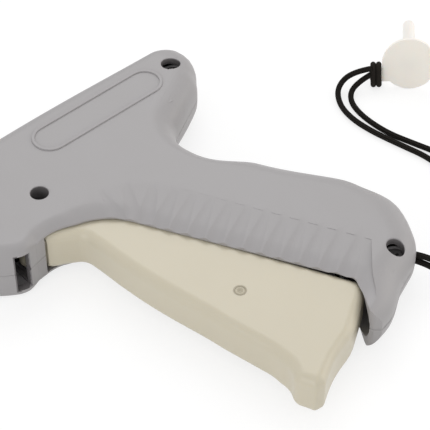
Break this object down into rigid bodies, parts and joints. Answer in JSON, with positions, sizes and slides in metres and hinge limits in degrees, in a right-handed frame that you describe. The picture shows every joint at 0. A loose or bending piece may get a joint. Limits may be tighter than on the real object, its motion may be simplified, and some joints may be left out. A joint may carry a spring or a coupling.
{
  "type": "garment tag attacher",
  "caption": "Pistol-shaped garment tagging tool with a swinging trigger, slotted needle, coupled pusher linkage, and a needle cap on a black lanyard.",
  "frame": {"origin": "on the right side's outer face (the side the tool lies on), level with the needle's axis and 11 mm above the front screw", "axes": "+X from the muzzle towards the rear, parallel to the needle; +Y from the trigger's tail up to the barrel; +Z from the right side to the left side"},
  "size_m": [0.2054, 0.1265, 0.0207],
  "materials": {
    "housing_grey": "fine-textured injection-moulded grey ABS",
    "trigger_cream": "smooth cream acetal, satin",
    "trigger_pin_cream": "cream plastic pin end",
    "screw_steel": "zinc-plated steel",
    "pin_steel": "ground steel",
    "link_steel": "stamped steel",
    "slider_plastic": "black acetal",
    "needle_steel": "polished stainless steel",
    "needle_base_plastic": "red moulded nylon",
    "knob_plastic": "black acetal",
    "blade_steel": "hardened steel",
    "wheel_brass": "machined brass",
    "spring_steel": "spring wire",
    "cord_black": "braided black polyester cord",
    "cap_white": "translucent natural polyethylene"
  },
  "bodies": {
    "housing": {"left_housing_shell": "housing_grey", "right_housing_shell": "housing_grey", "muzzle_cheek": "housing_grey", "housing_screws": "screw_steel", "trigger_pivot_pin": "pin_steel", "lever_pivot_pin": "pin_steel", "pawl_pin": "pin_steel", "needle": "needle_steel", "needle_base": "needle_base_plastic", "cutter_blade": "blade_steel", "feed_track_guide": "slider_plastic", "feed_wheel_axle": "pin_steel", "pawl_spring": "spring_steel", "return_spring": "spring_steel", "lanyard_knot": "cord_black", "lanyard_strand_outer": "cord_black", "lanyard_strand_inner": "cord_black", "cord_hitch": "cord_black", "needle_cap": "cap_white"},
    "trigger": {"trigger": "trigger_cream", "trigger_link_pin": "trigger_pin_cream"},
    "trigger_link": {"trigger_link": "link_steel"},
    "drive_lever": {"drive_lever": "link_steel", "link_lever_pin": "pin_steel"},
    "slider": {"pusher_slider": "slider_plastic", "slider_pin": "pin_steel", "pusher_rod": "needle_steel"},
    "needle_lock_knob": {"needle_lock_knob": "knob_plastic"},
    "feed_wheel": {"feed_wheel": "wheel_brass"},
    "feed_pawl": {"feed_pawl": "slider_plastic"}
  },
  "joints": [
    {"name": "trigger_swing", "type": "hinge", "parent": "housing", "child": "trigger", "pos_m": [-0.0105, -0.018, 0.01], "axis": [0, 0, 1], "range_deg": [0, 15], "stiffness_Nm_per_rad": 0.3, "springref_deg": -11.46, "deforming": ["return_spring"]},
    {"name": "lever_swing", "type": "hinge", "parent": "housing", "child": "drive_lever", "pos_m": [0.0305, -0.038, 0.01], "axis": [0, 0, 1], "range_deg": [0, 57]},
    {"name": "link_swing", "type": "hinge", "parent": "trigger", "child": "trigger_link", "pos_m": [0.0188, -0.0737, 0.0135], "axis": [0, 0, 1], "range_deg": [-6.2, 0.2]},
    {"name": "pusher_slide", "type": "slide", "parent": "housing", "child": "slider", "axis": [-1, 0, 0], "range_m": [0, 0.0402]},
    {"name": "feed_wheel_spin", "type": "hinge", "parent": "housing", "child": "feed_wheel", "pos_m": [-0.0089, 0.003, 0.0054], "axis": [0, 0, 1], "continuous": true},
    {"name": "feed_pawl_swing", "type": "hinge", "parent": "housing", "child": "feed_pawl", "pos_m": [0.0026, 0.0087, 0.0054], "axis": [0, 0, 1], "range_deg": [-10, 0], "stiffness_Nm_per_rad": 0.002, "springref_deg": 5.73, "deforming": ["pawl_spring"]},
    {"name": "needle_lock_turn", "type": "hinge", "parent": "housing", "child": "needle_lock_knob", "pos_m": [-0.0293, 0.0054, 0.018], "axis": [0, 0, 1], "range_deg": [0, 90]}
  ],
  "couplings": [
    {"joint": "lever_swing", "follows": "trigger_swing", "ratio": 3.784},
    {"joint": "link_swing", "follows": "trigger_swing", "ratio": -0.3953},
    {"joint": "pusher_slide", "follows": "trigger_swing", "m_per_rad": 0.15279}
  ]
}
